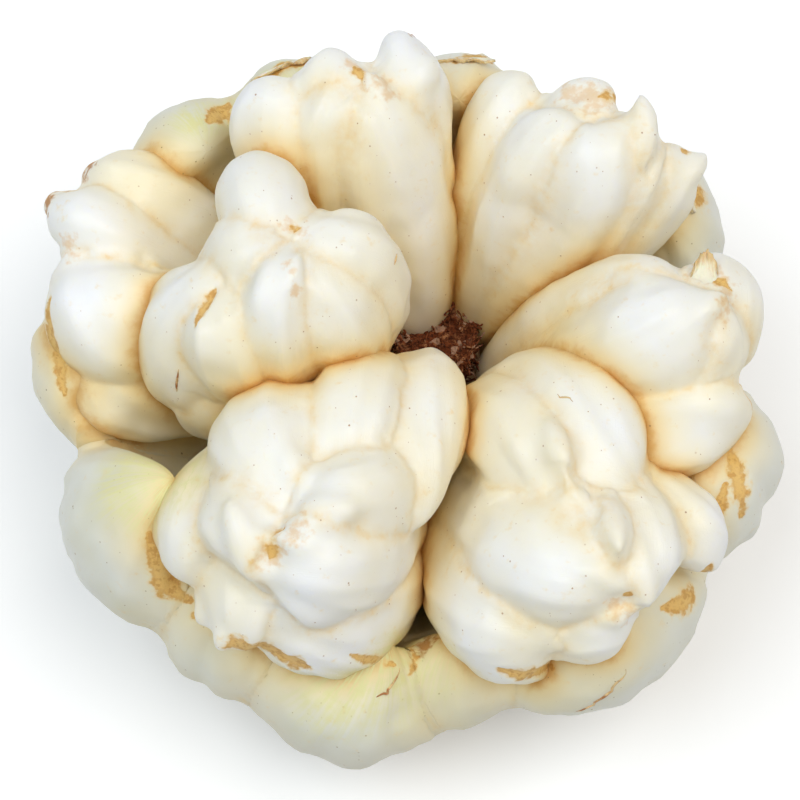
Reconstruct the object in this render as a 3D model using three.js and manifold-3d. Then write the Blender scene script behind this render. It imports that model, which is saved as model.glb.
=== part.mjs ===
import * as THREE from 'three';
import { mergeVertices } from 'three/addons/utils/BufferGeometryUtils.js';
import Module from 'manifold-3d';

const wasm = await Module();
wasm.setup();

// A lily bulb in millimetres, +Z up, standing on its basal plate.
// Seven bulblets lean out around the scar of the old stem, and each is a bundle of fleshy scales.
// A ring of outer scales holds them from below. -Y is the front.

const gap = 0.3; // clear space between neighbouring pieces
const stations = 7; // sections along a scale
const facets = 8; // sides of each section

const plate = { x: 1, y: 6, flatRadius: 13, radius: 17, edgeHeight: 3.5, height: 8 };
const scar = { x: 4.8, y: 12.8, radius: 6.2, neckRadius: 4.6, top: 22, pit: 1.6 };

// What a scale has unless its own line says otherwise.
// dome and back are its thickness outside and inside its middle surface, and wrap is the
// radius that its cross-section bends to. A low point or foot gives a blunt tip or base, and
// at is the share of its length where the belly lies, a little below where it is widest.
const plainScale = { dome: 5, back: 5, wrap: 14, point: 0.55, foot: 0.4, at: 0.5 };
const outerScale = { dome: 7, back: 6, wrap: 36, foot: 0.6, at: 0.5 };
const outerRing = { x: 2, y: 3, rootReach: 13, rootHeight: 4, heel: [0, 0, 18], nose: [0, 0, 22] };

// Each bulblet bundles its scales around the line from its heel to its nose.
// A scale's middle line runs from its root over its belly to its tip.
const bulblets = [
  {
    name: 'front_left',
    heel: [-2, 0, 8],
    nose: [-15, -29, 50],
    scales: [
      {
        root: [0, 3, 12], belly: [3, -4, 41.5], tip: [1.5, -24.5, 48.5],
        width: 14.5, dome: 5.5, back: 6, point: 0.6,
      },
      { root: [-3, 2, 12], belly: [-4, -4.5, 45], tip: [-8, -20.5, 52.5], width: 14, point: 0.4 },
      { root: [-5, 1, 12], belly: [-16, -9.5, 47], tip: [-12.5, -23, 53], width: 15.5, point: 0.45 },
      { root: [-1, -3, 14], belly: [-2, -19, 48.5], tip: [-12.5, -23.5, 53.5], width: 13, point: 0.5 },
      {
        root: [1, -6, 12], belly: [-5, -27, 46.5], tip: [-15.5, -28.5, 52],
        width: 17.5, dome: 5.5, back: 6, point: 0.5,
      },
      {
        root: [-6, -2, 12], belly: [-18.5, -20, 48.5], tip: [-16.5, -31, 51.5],
        width: 13, back: 4, point: 0.7, foot: 0.6, at: 0.6,
      },
      {
        root: [-8, 1, 10], belly: [-24.5, -19, 42], tip: [-24.5, -28, 42],
        width: 15, back: 4, foot: 0.5, at: 0.58,
      },
      {
        root: [-5, -2, 8], belly: [-19.5, -28, 41], tip: [-18.5, -34.5, 38.5],
        width: 17.5, dome: 4.5, back: 3, point: 0.45, foot: 0.6, at: 0.66,
      },
      {
        root: [0, -4, 8], belly: [-6, -31, 32], tip: [-15.5, -31.5, 45],
        width: 20, dome: 5.5, back: 6, foot: 0.6,
      },
    ],
  },
  {
    name: 'crown',
    heel: [-10, 10, 12],
    nose: [-15, 7.5, 60],
    scales: [
      { root: [-12, 13, 14], belly: [-17.5, 19.5, 50], tip: [-15, 7.5, 57], width: 12, point: 0.4 },
      { root: [-7, 10, 14], belly: [-3.5, 8.5, 49], tip: [-12.5, 9.5, 58], width: 14, back: 6, point: 0.6 },
      { root: [-8, 7, 12], belly: [-7, 1, 48], tip: [-12.5, 8, 57.5], width: 13 },
      { root: [-10, 6, 12], belly: [-14.5, -0.5, 50.5], tip: [-14, 8.5, 58], width: 9.5, point: 0.65 },
      { root: [-12, 7, 12], belly: [-20.5, -1.5, 46.5], tip: [-20.5, 4, 54], width: 12, point: 0.6 },
      { root: [-13, 7, 12], belly: [-28, 1.5, 38.5], tip: [-20, 7.5, 57], width: 16, point: 0.65 },
      {
        root: [-14, 10.5, 12], belly: [-19.5, 8.5, 54.5], tip: [-14.5, 9, 58],
        width: 13, dome: 4.5, foot: 0.6, at: 0.7,
      },
      { root: [-13, 5, 12], belly: [-22.5, -1.5, 30], tip: [-24.5, -1, 44], width: 11 },
    ],
  },
  {
    name: 'front_right',
    heel: [8, 0, 8],
    nose: [29, -29.5, 46],
    scales: [
      {
        root: [10, 2, 12], belly: [19.5, -4, 42.5], tip: [27.5, -20, 47.5],
        width: 18, dome: 5.5, back: 6, point: 0.4,
      },
      { root: [8, 1, 12], belly: [13, -7, 41.5], tip: [18.5, -21.5, 50.5], width: 14, point: 0.5 },
      {
        root: [6, -4, 12], belly: [13.5, -25, 44], tip: [26.5, -31, 48],
        width: 18.5, dome: 5.5, back: 6, point: 0.65,
      },
      {
        root: [4.5, -2.5, 8], belly: [9.5, -31, 34.5], tip: [19, -34.5, 41],
        width: 21, back: 4.5, point: 0.5, foot: 0.6, at: 0.54,
      },
      {
        root: [5, 1, 10.5], belly: [19, -22, 46.5], tip: [25.5, -29, 47],
        width: 14, back: 4, foot: 0.6, at: 0.6,
      },
      {
        root: [8, 3, 10.5], belly: [27.5, -23, 47], tip: [29.5, -32, 45.5],
        width: 13.5, point: 0.75, foot: 0.6, at: 0.64,
      },
      {
        root: [11, 2.5, 8], belly: [33.5, -20, 40.5], tip: [37.5, -24.5, 37],
        width: 13, back: 4, foot: 0.6, at: 0.68,
      },
      {
        root: [14, -9, 26], belly: [23.5, -21.5, 48.5], tip: [25, -30, 52.5],
        width: 7, dome: 3, back: 3, point: 0.8, at: 0.6,
      },
      {
        root: [5.5, -3, 7.5], belly: [20.5, -33, 40.5], tip: [27.5, -33, 43.5],
        width: 14, dome: 4.5, foot: 0.6, at: 0.66,
      },
    ],
  },
  {
    name: 'right',
    heel: [14, 7, 10],
    nose: [38.5, 4, 49],
    scales: [
      {
        root: [12, 8, 12], belly: [27, 0, 45], tip: [38, 4.5, 50],
        width: 19, dome: 6, point: 0.5, widest: 0.62,
      },
      { root: [11, 11, 12], belly: [25, 8.5, 41.5], tip: [34, 5.5, 50], width: 12.5, point: 0.6 },
      {
        root: [13.5, 3, 10], belly: [36.5, -1.5, 47], tip: [39.5, 5.5, 48.5],
        width: 14.5, back: 4, foot: 0.6, at: 0.7,
      },
      {
        root: [14, 3, 10], belly: [34.5, -9.5, 42], tip: [42, -4, 39],
        width: 15, back: 4, foot: 0.6, at: 0.7,
      },
      {
        root: [17, 5, 8], belly: [40, 4, 45.5], tip: [38.5, 12.5, 45.5],
        width: 14, back: 4, foot: 0.6, at: 0.68,
      },
    ],
  },
  {
    name: 'back_right',
    heel: [10, 17, 12],
    nose: [28, 28, 54],
    scales: [
      { root: [9, 15.5, 14], belly: [16, 23, 45.5], tip: [22, 27.5, 53.5], width: 14.5, point: 0.7 },
      { root: [12, 15, 12], belly: [23.5, 19.5, 47], tip: [26, 27, 54], width: 16, point: 0.7 },
      { root: [8, 19, 12], belly: [11.5, 31, 38.5], tip: [17.5, 36.5, 47], width: 14.5 },
      { root: [7, 20, 12], belly: [21.5, 30, 46.5], tip: [27, 31, 52], width: 11.5, foot: 0.6, at: 0.6 },
      {
        root: [11, 13, 12.5], belly: [27, 23, 49.5], tip: [29, 27.5, 53],
        width: 11, back: 4, point: 0.7, foot: 0.6, at: 0.58,
      },
      {
        root: [12, 13.5, 12], belly: [28, 21, 47.5], tip: [29, 26, 51.5],
        width: 11, back: 4, point: 0.6, foot: 0.6, at: 0.58,
      },
      {
        root: [13, 14.5, 11], belly: [31, 21, 44.5], tip: [33.5, 24.5, 48],
        width: 12, back: 4, point: 0.5, foot: 0.6, at: 0.58,
      },
    ],
  },
  {
    name: 'back',
    heel: [2, 18, 12],
    nose: [-4.5, 32, 57],
    scales: [
      { root: [4, 15, 14], belly: [-1, 23.5, 45.5], tip: [-5, 31.5, 56.5], width: 16.5, point: 0.85 },
      {
        root: [-1.5, 15.5, 12.5], belly: [-8, 26.5, 49.5], tip: [-6.5, 31.5, 55.5],
        width: 11, back: 4, point: 0.6, foot: 0.6, at: 0.58,
      },
      { root: [3, 20, 12], belly: [1, 34.5, 48], tip: [-0.5, 39, 51], width: 16.5, point: 0.5, at: 0.64 },
      {
        root: [-3, 20, 12], belly: [-16, 28, 46], tip: [-14, 33, 53],
        width: 13, back: 6, point: 0.5, at: 0.56,
      },
      {
        root: [-2, 18, 12], belly: [-8.5, 31, 51.5], tip: [-6.5, 34.5, 54],
        width: 10, point: 0.6, foot: 0.6, at: 0.6,
      },
    ],
  },
  {
    name: 'left',
    heel: [-14, 16, 12],
    nose: [-41.5, 18.5, 42],
    scales: [
      {
        root: [-13.5, 12, 12.5], belly: [-34, 4.5, 38], tip: [-39.5, 14, 42],
        width: 21, dome: 6, foot: 0.6,
      },
      { root: [-14, 18, 14], belly: [-30, 23.5, 38.5], tip: [-40, 25.5, 39], width: 12, point: 0.65 },
      {
        root: [-14, 15, 13], belly: [-35, 17, 41.5], tip: [-43, 21.5, 40],
        width: 10.5, dome: 4.5, point: 0.6, foot: 0.6,
      },
      {
        root: [-15, 11, 11], belly: [-35, -0.5, 31], tip: [-39.5, 3, 36],
        width: 13, back: 4, point: 0.6, foot: 0.6, at: 0.62,
      },
    ],
  },
];

// Outer scales by the compass angle of their belly, counted from +X towards +Y in degrees.
// reach is the distance of the middle surface from the bulb's axis, and turn swings the tip round.
const outerScales = [
  { angle: 36, reach: 40.5, height: 26, tipReach: 39, tipHeight: 42, width: 22, point: 0.5 },
  { angle: 78, reach: 38.5, height: 28, tipReach: 37, tipHeight: 44, width: 20, point: 0.5 },
  { angle: 109, reach: 39, height: 28, tipReach: 37.5, tipHeight: 45, width: 21, point: 0.6 },
  { angle: 131, reach: 40, height: 28, tipReach: 38, tipHeight: 44, width: 24, point: 0.6 },
  { angle: 172, reach: 38, height: 24, tipReach: 38, tipHeight: 40, width: 22, point: 0.6 },
  { angle: 208, reach: 38.5, height: 24, tipReach: 32.5, tipHeight: 46, width: 27, point: 0.65, turn: 3 },
  { angle: 233, reach: 35.5, height: 20, tipReach: 34, tipHeight: 36, width: 20, point: 0.5 },
  { angle: 258, reach: 38, height: 18, tipReach: 33, tipHeight: 34, width: 27, point: 0.7, turn: 8 },
  { angle: 283, reach: 32.5, height: 18, tipReach: 32, tipHeight: 30, width: 26, point: 0.5 },
  { angle: 313, reach: 40, height: 22, tipReach: 37, tipHeight: 40, width: 30, point: 0.6 },
  { angle: 347, reach: 40.5, height: 24, tipReach: 38, tipHeight: 40, width: 25, point: 0.5 },
];

const flesh = new THREE.MeshStandardMaterial({ color: 0xf4ead2, roughness: 0.42, metalness: 0 });
const greenedFlesh = new THREE.MeshStandardMaterial({ color: 0xdfdcc0, roughness: 0.48, metalness: 0 });
const cork = new THREE.MeshStandardMaterial({ color: 0x6b3a20, roughness: 0.9, metalness: 0 });
const rootPlate = new THREE.MeshStandardMaterial({ color: 0xa9835a, roughness: 0.85, metalness: 0 });

// --- solids ---

function toSolid(geometry) {
  geometry.deleteAttribute('normal');
  geometry.deleteAttribute('uv');
  const merged = mergeVertices(geometry, 1e-4);
  return new wasm.Manifold(new wasm.Mesh({
    numProp: 3,
    vertProperties: new Float32Array(merged.attributes.position.array),
    triVerts: new Uint32Array(merged.index.array),
  }));
}

function toGeometry(solid) {
  const mesh = solid.getMesh();
  const geometry = new THREE.BufferGeometry();
  geometry.setAttribute('position', new THREE.BufferAttribute(new Float32Array(mesh.vertProperties), 3));
  geometry.setIndex(new THREE.BufferAttribute(new Uint32Array(mesh.triVerts), 1));
  geometry.computeVertexNormals();
  return geometry;
}

function largestBody(solid) {
  const bodies = solid.decompose();
  return bodies.reduce((best, body) => (body.volume() > best.volume() ? body : best));
}

// The solid with every face moved out by a distance: the room a neighbour keeps clear of.
function swell(solid, distance) {
  const geometry = toGeometry(solid);
  const { position, normal } = geometry.attributes;
  const index = geometry.index.array;
  const face = new THREE.Triangle();
  const faceNormal = new THREE.Vector3();
  const out = new THREE.Vector3();
  const least = new Float32Array(position.count).fill(1);
  for (let i = 0; i < index.length; i += 3) {
    face.setFromAttributeAndIndices(position, index[i], index[i + 1], index[i + 2]);
    face.getNormal(faceNormal);
    for (let corner = 0; corner < 3; corner += 1) {
      const vertex = index[i + corner];
      out.fromBufferAttribute(normal, vertex);
      least[vertex] = Math.min(least[vertex], out.dot(faceNormal));
    }
  }
  for (let i = 0; i < position.count; i += 1) {
    const reach = distance / Math.max(least[i], 0.4);
    out.fromBufferAttribute(normal, i).multiplyScalar(reach);
    position.setXYZ(i, position.getX(i) + out.x, position.getY(i) + out.y, position.getZ(i) + out.z);
  }
  return toSolid(geometry);
}

// --- scales ---

// How wide (by its own power) a scale is at a station, as a share of its full width.
function taper(station, widest, footPower, pointPower) {
  if (station < widest) {
    return (1 - (1 - station / widest) ** 2) ** footPower;
  }
  return (1 - ((station - widest) / (1 - widest)) ** 2) ** pointPower;
}

// A fleshy scale: a ball drawn out along its middle line, domed away from the bulblet's axis.
function scaleSolid(scale, heel, nose) {
  const root = new THREE.Vector3(...scale.root);
  const belly = new THREE.Vector3(...scale.belly);
  const tip = new THREE.Vector3(...scale.tip);
  const before = 1 - scale.at;
  const control = belly.clone();
  control.addScaledVector(root, -(before ** 2)).addScaledVector(tip, -(scale.at ** 2));
  control.divideScalar(2 * scale.at * before);
  const line = new THREE.QuadraticBezierCurve3(root, control, tip);
  const widest = scale.widest ?? scale.at + 0.05;
  const geometry = new THREE.SphereGeometry(1, facets, stations);
  const position = geometry.attributes.position;
  for (let i = 0; i < position.count; i += 1) {
    const station = Math.acos(THREE.MathUtils.clamp(position.getY(i), -1, 1)) / Math.PI;
    const ring = Math.max(Math.sin(station * Math.PI), 1e-6);
    const across = position.getX(i) / ring;
    const outward = -position.getZ(i) / ring;
    const middle = line.getPoint(station);
    const along = line.getTangent(station);
    const axisPoint = new THREE.Vector3(...heel).lerp(new THREE.Vector3(...nose), station);
    const out = middle.clone().sub(axisPoint);
    out.addScaledVector(along, -out.dot(along)).normalize();
    const side = along.clone().cross(out);
    const width = taper(station, widest, scale.foot, scale.point) * scale.width;
    const depth = taper(station, widest, 0.5, 0.5);
    const sideways = (width / 2) * across;
    const thickness = outward > 0 ? scale.dome : scale.back;
    const lift = depth * thickness * outward - sideways ** 2 / (2 * scale.wrap);
    middle.addScaledVector(side, sideways).addScaledVector(out, lift);
    position.setXYZ(i, middle.x, middle.y, middle.z);
  }
  return toSolid(geometry);
}

function placeOuterScale(entry) {
  const angle = THREE.MathUtils.degToRad(entry.angle);
  const tipAngle = angle + THREE.MathUtils.degToRad(entry.turn ?? 0);
  const { x, y, rootReach, rootHeight } = outerRing;
  return {
    ...outerScale,
    ...entry,
    root: [x + rootReach * Math.cos(angle), y + rootReach * Math.sin(angle), rootHeight],
    belly: [entry.reach * Math.cos(angle), entry.reach * Math.sin(angle), entry.height],
    tip: [entry.tipReach * Math.cos(tipAngle), entry.tipReach * Math.sin(tipAngle), entry.tipHeight],
  };
}

// --- basal plate and stem scar ---

function plateSolid() {
  const profile = [
    new THREE.Vector2(0, 0),
    new THREE.Vector2(plate.flatRadius, 0),
    new THREE.Vector2(plate.radius, plate.edgeHeight),
    new THREE.Vector2(plate.radius - 3, plate.height - 1.5),
    new THREE.Vector2(0, plate.height),
  ];
  const geometry = new THREE.LatheGeometry(profile, 24);
  geometry.rotateX(Math.PI / 2);
  geometry.translate(plate.x, plate.y, 0);
  return toSolid(geometry);
}

function scarSolid() {
  const foot = plate.height + gap;
  const profile = [
    new THREE.Vector2(0, foot),
    new THREE.Vector2(scar.neckRadius, foot),
    new THREE.Vector2(scar.radius, scar.top - 3),
    new THREE.Vector2(scar.radius * 0.8, scar.top),
    new THREE.Vector2(0, scar.top - scar.pit),
  ];
  const geometry = new THREE.LatheGeometry(profile, 14);
  geometry.rotateX(Math.PI / 2);
  geometry.translate(scar.x, scar.y, 0);
  return toSolid(geometry);
}

// --- assembly: each piece is cut clear of the pieces placed before it ---

const bulb = new THREE.Group();
let taken = null;

function place(name, material, solid) {
  const body = taken ? largestBody(solid.subtract(taken)) : solid;
  const room = swell(solid, gap);
  taken = taken ? taken.add(room) : room;
  const mesh = new THREE.Mesh(toGeometry(body), material);
  mesh.name = name;
  bulb.add(mesh);
}

place('basal_plate', rootPlate, plateSolid());
place('stem_scar', cork, scarSolid());

for (const bulblet of bulblets) {
  bulblet.scales.forEach((entry, index) => {
    const scale = { ...plainScale, ...entry };
    place(`${bulblet.name}_scale_${index + 1}`, flesh, scaleSolid(scale, bulblet.heel, bulblet.nose));
  });
}

outerScales.forEach((entry, index) => {
  const scale = placeOuterScale(entry);
  place(`outer_scale_${index + 1}`, greenedFlesh, scaleSolid(scale, outerRing.heel, outerRing.nose));
});

// The bulb stands on the plate, centred over the origin.
const bounds = new THREE.Box3().setFromObject(bulb);
const centre = bounds.getCenter(new THREE.Vector3());
bulb.position.set(-centre.x, -centre.y, -bounds.min.z);
bulb.updateMatrixWorld(true);

export default bulb;
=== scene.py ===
import math

import bmesh
import bpy
import numpy as np
from mathutils import Euler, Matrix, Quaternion, Vector
from mathutils.bvhtree import BVHTree


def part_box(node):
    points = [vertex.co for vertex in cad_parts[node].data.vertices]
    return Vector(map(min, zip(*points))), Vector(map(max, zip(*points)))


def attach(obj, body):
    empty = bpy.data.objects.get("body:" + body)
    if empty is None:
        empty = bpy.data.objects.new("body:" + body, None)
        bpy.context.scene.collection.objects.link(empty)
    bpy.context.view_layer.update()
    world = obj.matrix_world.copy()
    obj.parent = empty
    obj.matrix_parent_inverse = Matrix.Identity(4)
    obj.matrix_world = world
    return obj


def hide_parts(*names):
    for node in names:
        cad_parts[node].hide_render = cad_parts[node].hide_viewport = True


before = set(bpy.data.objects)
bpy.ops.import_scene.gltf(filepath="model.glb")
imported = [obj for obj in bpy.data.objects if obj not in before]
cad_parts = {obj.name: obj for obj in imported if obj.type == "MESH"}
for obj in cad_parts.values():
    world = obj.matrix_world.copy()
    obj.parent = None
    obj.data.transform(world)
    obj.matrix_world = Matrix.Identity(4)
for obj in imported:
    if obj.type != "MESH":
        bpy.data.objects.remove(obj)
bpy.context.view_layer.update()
mm = 0.001

# The bulb stands on its basal plate. -Y is the front. Places below are in mm from the point
# that the bulblets were laid out around, and bulbCentre brings that point into the frame.
plateLow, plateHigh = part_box("basal_plate")
plateMiddle = Vector((1, 6, 0))
bulbCentre = (Vector(plateLow) + Vector(plateHigh)) / 2 / mm - plateMiddle
bulbCentre.z = 0


def inFrame(place):
    return (Vector(place) + bulbCentre) * mm


# --- node trees as sums ---


def sign(operation, reflected=False):
    # what one of Python's signs does with a wire
    def act(wire, other):
        return wire.join(operation, other, wire) if reflected else wire.join(operation, wire, other)

    return act


class Wire:
    # one socket that can stand in a sum: + - * / ** with wires, numbers and vectors
    def __init__(self, sheet, socket):
        self.sheet = sheet
        self.socket = socket

    def join(self, operation, first, second):
        vectors = [
            v.socket.type == "VECTOR" if isinstance(v, Wire) else isinstance(v, (tuple, Vector))
            for v in (first, second)
        ]
        if not any(vectors):
            return self.sheet.maths(operation, first, second)
        if operation == "DIVIDE":
            return first * (1 / second)
        if operation == "MULTIPLY" and not all(vectors):
            vector, number = (first, second) if vectors[0] else (second, first)
            return self.sheet.vectors("SCALE", vector, Scale=number)
        return self.sheet.vectors(operation, first, second)

    __add__, __radd__ = sign("ADD"), sign("ADD", True)
    __sub__, __rsub__ = sign("SUBTRACT"), sign("SUBTRACT", True)
    __mul__, __rmul__ = sign("MULTIPLY"), sign("MULTIPLY", True)
    __truediv__, __rtruediv__ = sign("DIVIDE"), sign("DIVIDE", True)
    __pow__, __rpow__ = sign("POWER"), sign("POWER", True)

    def atLeast(self, low):
        return self.sheet.maths("MAXIMUM", self, low)

    def atMost(self, high):
        return self.sheet.maths("MINIMUM", self, high)

    def clamp(self):
        return self.atLeast(0).atMost(1)


class Sheet:
    # builds one node tree
    def __init__(self, tree):
        self.tree = tree

    def node(self, kind, settings=None, *values, out=0, **named):
        made = self.tree.nodes.new(kind)
        for key, value in (settings or {}).items():
            setattr(made, key, value)
        for key, value in [*enumerate(values), *named.items()]:
            if value is None:
                continue
            socket = made.inputs[key.replace("_", " ") if isinstance(key, str) else key]
            if isinstance(value, Wire):
                self.tree.links.new(value.socket, socket)
            elif socket.type == "RGBA" and len(value) == 3:
                socket.default_value = (*value, 1)
            else:
                socket.default_value = value
        return Wire(self, made.outputs[out])

    def maths(self, operation, *values):
        return self.node("ShaderNodeMath", {"operation": operation}, *values)

    def vectors(self, operation, *values, out=0, **named):
        return self.node("ShaderNodeVectorMath", {"operation": operation}, *values, out=out, **named)

    def vector(self, x, y, z=0.0):
        return self.node("ShaderNodeCombineXYZ", {}, x, y, z)

    def split(self, vector):
        made = self.node("ShaderNodeSeparateXYZ", {}, vector)
        return [Wire(self, output) for output in made.socket.node.outputs]

    def ramp(self, value, low, high, fromLow=0, fromHigh=1):
        # value between low and high, eased from fromLow to fromHigh
        return self.node(
            "ShaderNodeMapRange", {"interpolation_type": "SMOOTHSTEP"}, value, low, high, fromLow, fromHigh
        )

    def blend(self, share, first, second):
        # colours, which stand at sockets 6 and 7 of a Mix node
        sockets = (share, *[None] * 5, first, second)
        return self.node("ShaderNodeMix", {"data_type": "RGBA"}, *sockets, out=2)

    def coats(self, look, first, *others):
        # the first colour with the others laid over it, each by its own share
        colour = look[first]
        for label, share in others:
            colour = self.blend(share, colour, look[label])
        return colour

    def noise(self, place, scale, detail=2.0, w=None, out=0, **more):
        # over a place, over a place and w, or over w alone
        size = "3D" if w is None else "1D" if place is None else "4D"
        settings = {"noise_dimensions": size}
        return self.node(
            "ShaderNodeTexNoise", settings, place, W=w, Scale=scale, Detail=detail, out=out, **more
        )

    def chips(self, place, scale):
        # distance to the middle of each random cell, and the three random shares of the cell
        cells = self.node("ShaderNodeTexVoronoi", {}, place, Scale=scale)
        return cells, self.split(Wire(self, cells.socket.node.outputs["Color"]))

    def bump(self, height, strength, depth):
        return self.node("ShaderNodeBump", {}, Strength=strength, Distance=depth * mm, Height=height)

    def surfacePlace(self):
        return self.node("ShaderNodeTexCoord", out="Object") / mm

    def attribute(self, name):
        return self.node("ShaderNodeAttribute", {"attribute_name": name}, out="Fac")

    def stored(self, name):
        return self.node("GeometryNodeInputNamedAttribute", {"data_type": "FLOAT"}, Name=name)

    def store(self, geometry, **wires):
        settings = {"data_type": "FLOAT", "domain": "POINT"}
        for label, wire in wires.items():
            geometry = self.node(
                "GeometryNodeStoreNamedAttribute", settings, geometry, Name=label, Value=wire
            )
        return geometry

    def place(self):
        return self.node("GeometryNodeInputPosition")

    def normal(self):
        return self.node("GeometryNodeInputNormal")

    def ball(self, segments, rings):
        return self.node("GeometryNodeMeshUVSphere", {}, Segments=segments, Rings=rings, Radius=1.0)

    def move(self, geometry, **how):
        return self.node("GeometryNodeSetPosition", {}, geometry, **how)

    def random(self, low, high, seed):
        if isinstance(low, tuple):
            return self.node("FunctionNodeRandomValue", {"data_type": "FLOAT_VECTOR"}, low, high, Seed=seed)
        settings = {"data_type": "FLOAT"}  # whose range stands at sockets 2 and 3
        return self.node("FunctionNodeRandomValue", settings, None, None, low, high, out=1, Seed=seed)

    def tube(self, line, sides, radius, **more):
        section = self.node("GeometryNodeCurvePrimitiveCircle", {}, Resolution=sides, Radius=radius)
        return self.node("GeometryNodeCurveToMesh", {}, line, section, Fill_Caps=True, **more)

    def strew(self, points, instance, turned, size):
        return self.node(
            "GeometryNodeInstanceOnPoints", {}, points, Instance=instance, Rotation=turned, Scale=size
        )

    def together(self, *geometries):
        whole = self.tree.nodes.new("GeometryNodeJoinGeometry")
        for wire in geometries:
            self.tree.links.new(wire.socket, whole.inputs[0])
        return Wire(self, whole.outputs[0])


def newTree(name, **sockets):
    # an empty Geometry Nodes tree with inputs of these kinds and names, and their wires
    tree = bpy.data.node_groups.new(name, "GeometryNodeTree")
    tree.is_modifier = True
    tree.interface.new_socket("Geometry", in_out="OUTPUT", socket_type="NodeSocketGeometry")
    sheet = Sheet(tree)
    for kind, labels in {**sockets, "Material": ["Material"]}.items():
        for label in labels:
            tree.interface.new_socket(label, in_out="INPUT", socket_type="NodeSocket" + kind)
    outputs = tree.nodes.new("NodeGroupInput").outputs
    return sheet, {output.name: Wire(sheet, output) for output in outputs if output.name}


def endTree(sheet, geometry, material, smooth=True):
    if smooth:
        geometry = sheet.node("GeometryNodeSetShadeSmooth", {}, geometry)
    real = sheet.node("GeometryNodeRealizeInstances", {}, geometry)
    painted = sheet.node("GeometryNodeSetMaterial", {}, real, Material=material)
    result = sheet.tree.nodes.new("NodeGroupOutput")
    sheet.tree.links.new(painted.socket, result.inputs[0])
    return sheet.tree


def grow(name, tree, values, start=None):
    # runs a tree on its own and keeps the result as a plain mesh object
    holder = bpy.data.objects.new(name, start or bpy.data.meshes.new(name + "Start"))
    bpy.context.scene.collection.objects.link(holder)
    modifier = holder.modifiers.new("grow", "NODES")
    modifier.node_group = tree
    for item in tree.interface.items_tree:
        if item.in_out == "INPUT" and item.name in values:
            modifier[item.identifier] = values[item.name]
    evaluated = holder.evaluated_get(bpy.context.evaluated_depsgraph_get())
    mesh = bpy.data.meshes.new_from_object(evaluated)
    holder.modifiers.remove(modifier)
    holder.data = mesh
    mesh.name = name
    return holder


def inputs(shape, *labels, unit=mm):
    # a tree's values from a piece's dictionary, "Stub Length" from stubLength
    return {label: shape[label[0].lower() + label[1:].replace(" ", "")] * unit for label in labels}


# --- scales ---

growth = {
    "crowding": 1.4,  # how much closer the rings lie towards the tip
    "nibFrom": 0.84,  # the share of the length where the tip draws in
    "folds": 1.8,  # depths in mm
    "dents": 1.8,
    "keel": 0.45,
}


def fleshyScaleTree():
    # a ball drawn out along a bent middle line, domed away from the bulblet's axis
    sheet, given = newTree(
        "fleshyScale",
        Vector=["Root", "Belly", "Tip", "Heel", "Nose"],
        Float="Width Dome Back Wrap Nib Swell Point Foot Seed".split() + ["Belly At", "Widest At"],
        Int=["Rings", "Sides"],
    )
    root, belly, tip = given["Root"], given["Belly"], given["Tip"]
    at, widest = given["Belly At"], given["Widest At"]
    x, y, z = sheet.split(sheet.place())
    station = 1 - (0.5 + z * 0.5) ** growth["crowding"]
    ring = sheet.maths("SQRT", (1 - z * z).atLeast(0)).atLeast(1e-6)
    across, outward = x / ring, y / ring
    ball = sheet.ball(given["Sides"], given["Rings"])
    marked = sheet.store(ball, along=station, across=across, outward=outward)

    # the middle line, a quadratic curve through the belly
    before = 1 - at
    control = (belly - root * (before * before) - tip * (at * at)) * (0.5 / (at * before))
    rest = 1 - station
    middle = root * (rest * rest) + control * (2 * station * rest) + tip * (station * station)
    along = sheet.vectors("NORMALIZE", (control - root) * rest + (tip - control) * station)
    endWay = sheet.vectors("NORMALIZE", tip - control)
    axis = given["Heel"] + (given["Nose"] - given["Heel"]) * station
    away = middle - axis
    inLine = along * sheet.vectors("DOT_PRODUCT", away, along, out="Value")
    out = sheet.vectors("NORMALIZE", away - inLine)
    side = sheet.vectors("CROSS_PRODUCT", along, out)

    # how wide and how deep it is at each station
    lower = sheet.maths("LESS_THAN", station, widest)
    upper = 1 - lower
    fromFoot = 1 - station / widest
    fromTip = (station - widest) / (1 - widest)
    rise = (1 - fromFoot * fromFoot).atLeast(0)
    fall = (1 - fromTip * fromTip).atLeast(0)
    spread = lower * rise ** given["Foot"] + upper * fall ** given["Point"]
    depth = sheet.maths("SQRT", lower * rise + upper * fall)
    nearTip = sheet.ramp(station, growth["nibFrom"], 1)
    slimmer = 1 - nearTip * (given["Nib"] / mm * 0.22).atMost(0.6)
    sideways = spread * slimmer * given["Width"] * 0.5 * across
    outer = sheet.maths("GREATER_THAN", outward, 0)
    thickness = outer * given["Dome"] + (1 - outer) * given["Back"]
    lift = depth * slimmer * thickness * outward - sideways * sideways / (2 * given["Wrap"])
    placed = middle + side * sideways + out * lift + endWay * (given["Nib"] * nearTip * nearTip)
    shaped = sheet.move(marked, Position=placed)

    # growth leaves long soft folds, a keel and a slightly uneven surface
    kept, keptAcross, keptOutward = (sheet.stored(label) for label in ("along", "across", "outward"))
    seed = given["Seed"]
    folds = sheet.noise(sheet.vector(keptAcross * 1.3, kept * 1.1, keptOutward * 1.3), 1.6, 1.0, seed)
    dents = sheet.noise(sheet.place() / mm, 0.13, 2.0, seed)
    ribs = sheet.noise(sheet.vector(keptAcross * 1.5, kept * 0.9, keptOutward * 0.8), 1.5, 0.0, seed + 40)
    keel = 1 - sheet.maths("ABSOLUTE", ribs * 2 - 1) * 2.5
    wavy = (folds - 0.5) * growth["folds"] + (dents - 0.5) * growth["dents"]
    uneven = wavy + keel * growth["keel"] - 0.25
    fullness = sheet.ramp(kept, 0, 0.2) * sheet.ramp(kept, 1.0, 0.78, 0.08, 1)
    grown = sheet.move(shaped, Offset=sheet.normal() * (uneven * given["Swell"] * fullness))
    return endTree(sheet, grown, given["Material"])


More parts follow.
